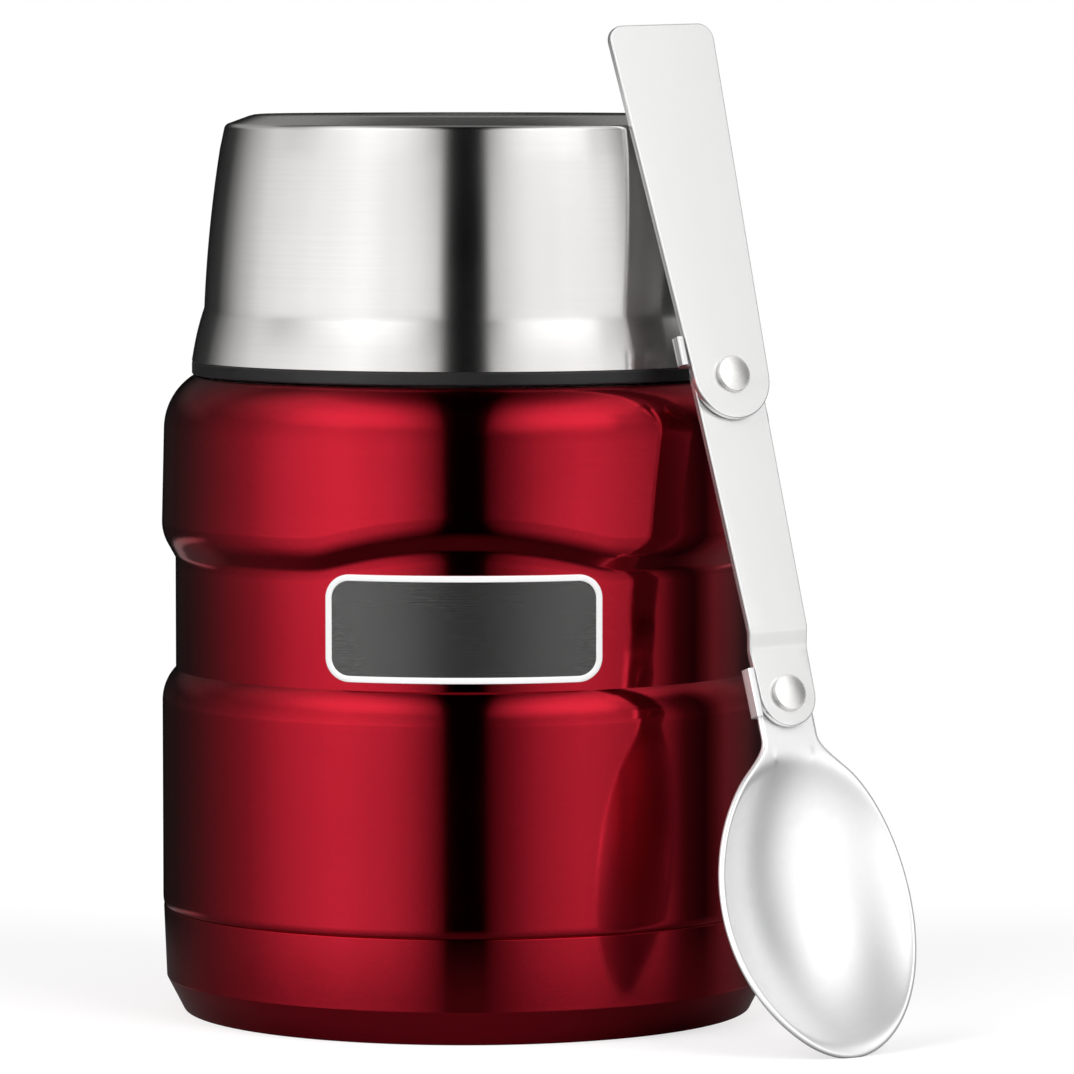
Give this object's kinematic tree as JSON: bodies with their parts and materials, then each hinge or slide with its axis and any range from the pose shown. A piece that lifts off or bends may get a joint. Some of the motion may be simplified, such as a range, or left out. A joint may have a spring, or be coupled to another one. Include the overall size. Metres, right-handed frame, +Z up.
{
  "type": "insulated food jar",
  "caption": "Double-walled vacuum food jar with a waisted body, an inner stopper, a lid that serves as a bowl, and a folding spoon leaning on it.",
  "frame": {"origin": "centre of the jar's foot ring, on the table and on the jar's axis", "axes": "+Z up along the jar's axis; -Y is the front with the badge; +X is to the viewer's right, the side the spoon leans on"},
  "size_m": [0.1154, 0.1084, 0.1534],
  "materials": {
    "lacquer": "glossy translucent red lacquer over steel",
    "brushed_steel": "brushed round the axis",
    "steel": "satin, electropolished inside",
    "spoon_steel": "polished",
    "black_plastic": "fine satin",
    "silicone": "smooth matt",
    "foam": "porous insulation",
    "foil": "bright wrap",
    "solder": "dull bead",
    "getter_metal": "sintered pill",
    "badge_border": "pale border",
    "badge_face": "plain dark face"
  },
  "bodies": {
    "jar": {"outer_shell": "lacquer", "base_cup": "lacquer", "base_cover": "steel", "seal_plug": "solder", "getter": "getter_metal", "inner_vessel": "steel", "foil_wrap": "foil", "badge_frame": "badge_border", "badge_face": "badge_face"},
    "stopper": {"stopper_body": "black_plastic", "stopper_base": "black_plastic", "stopper_foam": "foam", "stopper_gasket": "silicone"},
    "lid": {"lid_shell": "brushed_steel", "lid_bowl": "black_plastic"},
    "scoop": {"spoon_scoop": "spoon_steel", "rivet_lower": "spoon_steel"},
    "arm": {"spoon_arm": "spoon_steel", "rivet_upper": "spoon_steel"},
    "handle": {"spoon_handle": "spoon_steel"}
  },
  "joints": [
    {"name": "stopper_lift", "type": "slide", "parent": "jar", "child": "stopper", "axis": [0, 0, 1], "range_m": [0, 0.06]},
    {"name": "lid_lift", "type": "slide", "parent": "stopper", "child": "lid", "axis": [0, 0, 1], "range_m": [0, 0.06]},
    {"name": "spoon_away", "type": "slide", "parent": "lid", "child": "scoop", "axis": [0.5174, -0.7968, 0.3121], "range_m": [0, 0.06]},
    {"name": "arm_fold", "type": "hinge", "parent": "scoop", "child": "arm", "pos_m": [0.04727, -0.04241, 0.05246], "axis": [-0.5174, 0.7968, -0.3121], "range_deg": [0, 180]},
    {"name": "handle_fold", "type": "hinge", "parent": "arm", "child": "handle", "pos_m": [0.0378, -0.03033, 0.099], "axis": [-0.5174, 0.7968, -0.3121], "range_deg": [0, 180]}
  ]
}
